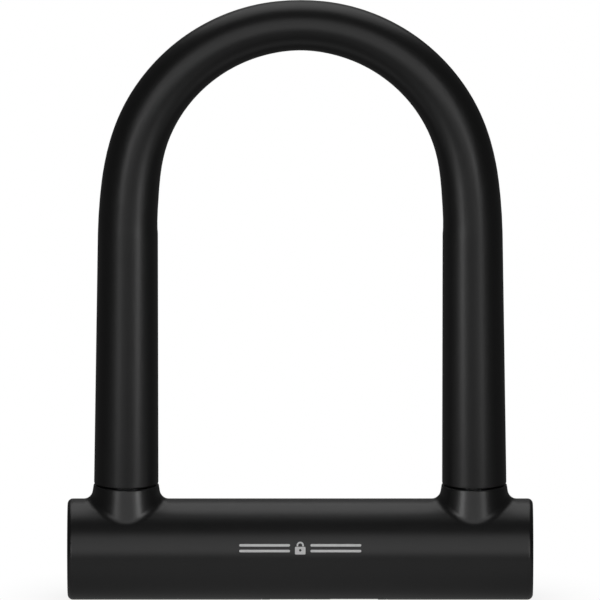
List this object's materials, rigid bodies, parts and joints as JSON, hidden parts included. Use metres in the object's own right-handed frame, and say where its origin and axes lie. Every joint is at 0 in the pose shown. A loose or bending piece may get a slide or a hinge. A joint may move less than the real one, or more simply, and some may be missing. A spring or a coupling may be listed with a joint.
{
  "type": "u lock",
  "caption": "Bicycle U lock: sleeved steel shackle with notched feet, round crossbar with blended collars, keyed cam drive, twin bolts and a sliding keyhole cover.",
  "frame": {"origin": "centre of the crossbar's long axis, midway between the legs", "axes": "+X along the crossbar to the viewer's right, +Z from the crossbar up the shackle's legs, -Y towards the front, which carries the printed mark"},
  "size_m": [0.1552, 0.0338, 0.2027],
  "materials": {
    "shackle_steel": "ground and zinc plated",
    "sleeve_vinyl": "satin black vinyl",
    "tube_steel": "drawn tube",
    "cover_plastic": "satin black moulding",
    "cap_plastic": "satin black moulding",
    "block_steel": "hardened, oiled",
    "guide_nylon": "moulded nylon",
    "seal_rubber": "matt",
    "carrier_zinc": "die cast, as cast",
    "fixing_steel": "zinc plated",
    "cylinder_brass": "turned",
    "core_steel": "turned",
    "bolt_steel": "ground"
  },
  "bodies": {
    "crossbar": {"crossbar_tube": "tube_steel", "crossbar_cover": "cover_plastic", "end_cap_left": "cap_plastic", "end_cap_right": "cap_plastic", "foot_block_left": "block_steel", "foot_block_right": "block_steel", "leg_bush_left": "guide_nylon", "leg_bush_right": "guide_nylon", "collar_seal_left": "seal_rubber", "collar_seal_right": "seal_rubber", "end_pins": "fixing_steel", "chassis_lower": "carrier_zinc", "chassis_upper": "carrier_zinc", "chassis_screws": "fixing_steel", "cylinder_housing": "cylinder_brass", "cylinder_retaining_pin": "fixing_steel", "keyway_bezel": "cap_plastic"},
    "shackle": {"shackle_bar": "shackle_steel", "shackle_sleeve": "sleeve_vinyl"},
    "key_core": {"cylinder_core": "core_steel", "detainer_discs": "cylinder_brass", "disc_spacers": "core_steel", "sidebar": "core_steel", "anti_drill_plate": "block_steel", "drive_cam": "block_steel", "cam_screw": "fixing_steel"},
    "left_bolt": {"bolt_left": "bolt_steel", "drive_pin_left": "bolt_steel"},
    "right_bolt": {"bolt_right": "bolt_steel", "drive_pin_right": "bolt_steel"},
    "shutter": {"dust_cover": "cap_plastic"}
  },
  "joints": [
    {"name": "shackle_lift", "type": "slide", "parent": "crossbar", "child": "shackle", "axis": [0, 0, 1], "range_m": [0, 0.06]},
    {"name": "key_turn", "type": "hinge", "parent": "crossbar", "child": "key_core", "pos_m": [0, 0, 0], "axis": [0, 0, 1], "range_deg": [0, 90]},
    {"name": "left_bolt_slide", "type": "slide", "parent": "crossbar", "child": "left_bolt", "axis": [-1, 0, 0], "range_m": [0, 0.0045]},
    {"name": "right_bolt_slide", "type": "slide", "parent": "crossbar", "child": "right_bolt", "axis": [1, 0, 0], "range_m": [0, 0.0045]},
    {"name": "dust_cover_slide", "type": "slide", "parent": "crossbar", "child": "shutter", "axis": [1, 0, 0], "range_m": [0, 0.0158]}
  ],
  "couplings": [
    {"joint": "key_turn", "follows": "left_bolt_slide", "rad_per_m": 349.07},
    {"joint": "right_bolt_slide", "follows": "left_bolt_slide", "ratio": 1}
  ]
}
